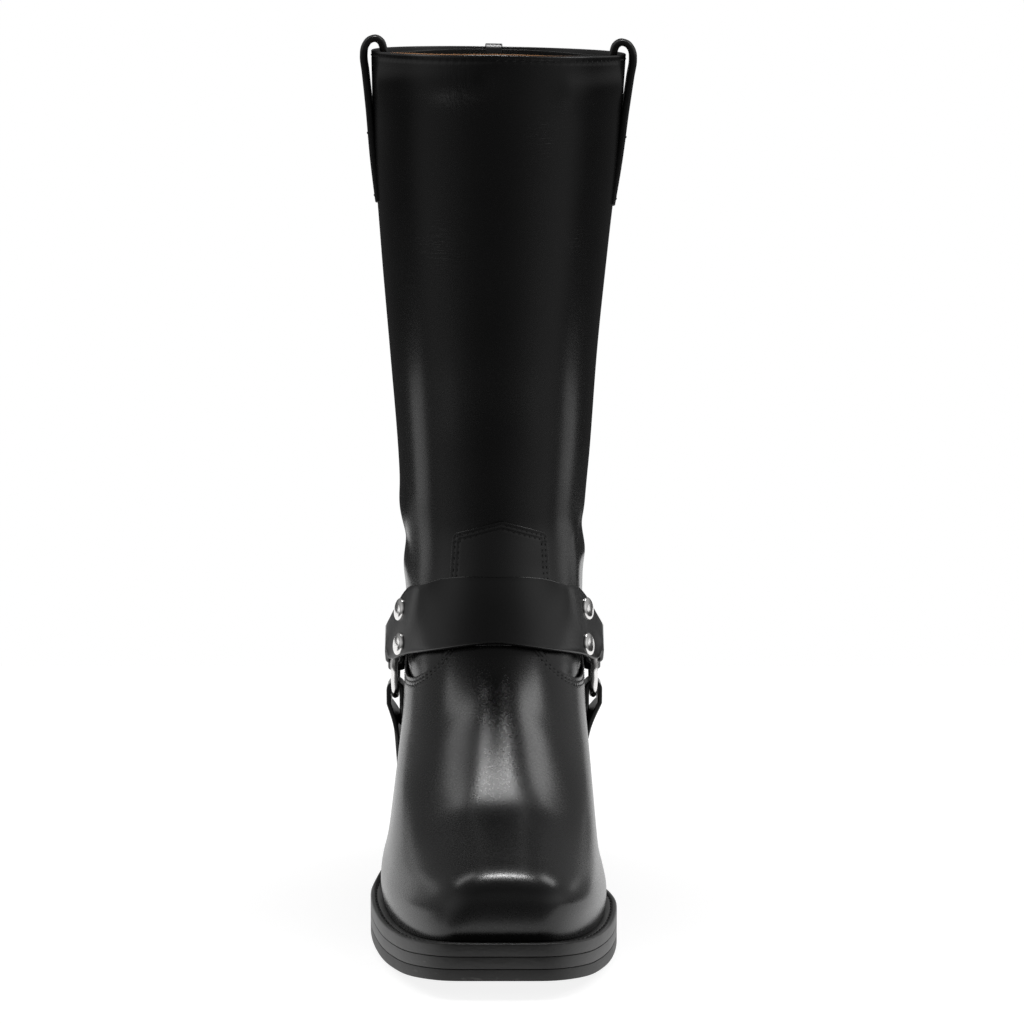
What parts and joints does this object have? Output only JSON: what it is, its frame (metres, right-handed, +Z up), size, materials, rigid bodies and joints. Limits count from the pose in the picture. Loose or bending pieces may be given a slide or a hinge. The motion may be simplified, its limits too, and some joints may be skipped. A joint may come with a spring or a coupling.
{
  "type": "harness boot",
  "caption": "Right harness boot in black leather: tall shaft with pull straps, tongued vamp, ringed and riveted instep harness, welted layered sole and stacked heel.",
  "frame": {"origin": "on the floor under the middle of the sole's length, below the boot", "axes": "+Z up the shaft, -Y towards the toe, -X towards the lateral (little toe) side"},
  "size_m": [0.1164, 0.282, 0.3588],
  "materials": {
    "black_leather": "smooth black leather, semi-gloss",
    "strap_leather": "smooth black strap leather, semi-gloss",
    "stack_leather": "black dyed and waxed sole edge",
    "black_rubber": "matt black rubber",
    "insole_board": "plain tan insole leather",
    "chrome": "polished nickel"
  },
  "bodies": {
    "root": {"outsole": "black_rubber", "midsole": "stack_leather", "welt": "black_leather", "insole": "insole_board", "heel": "stack_leather", "heel_top_lift": "black_rubber", "upper": "black_leather", "instep_strap": "strap_leather", "heel_strap": "strap_leather", "sole_strap": "strap_leather", "ring_lateral": "chrome", "ring_medial": "chrome", "rivet_lateral_lower": "chrome", "rivet_lateral_upper": "chrome", "rivet_medial_lower": "chrome", "rivet_medial_upper": "chrome", "pull_strap_lateral": "strap_leather", "pull_strap_medial": "strap_leather"}
  },
  "joints": []
}
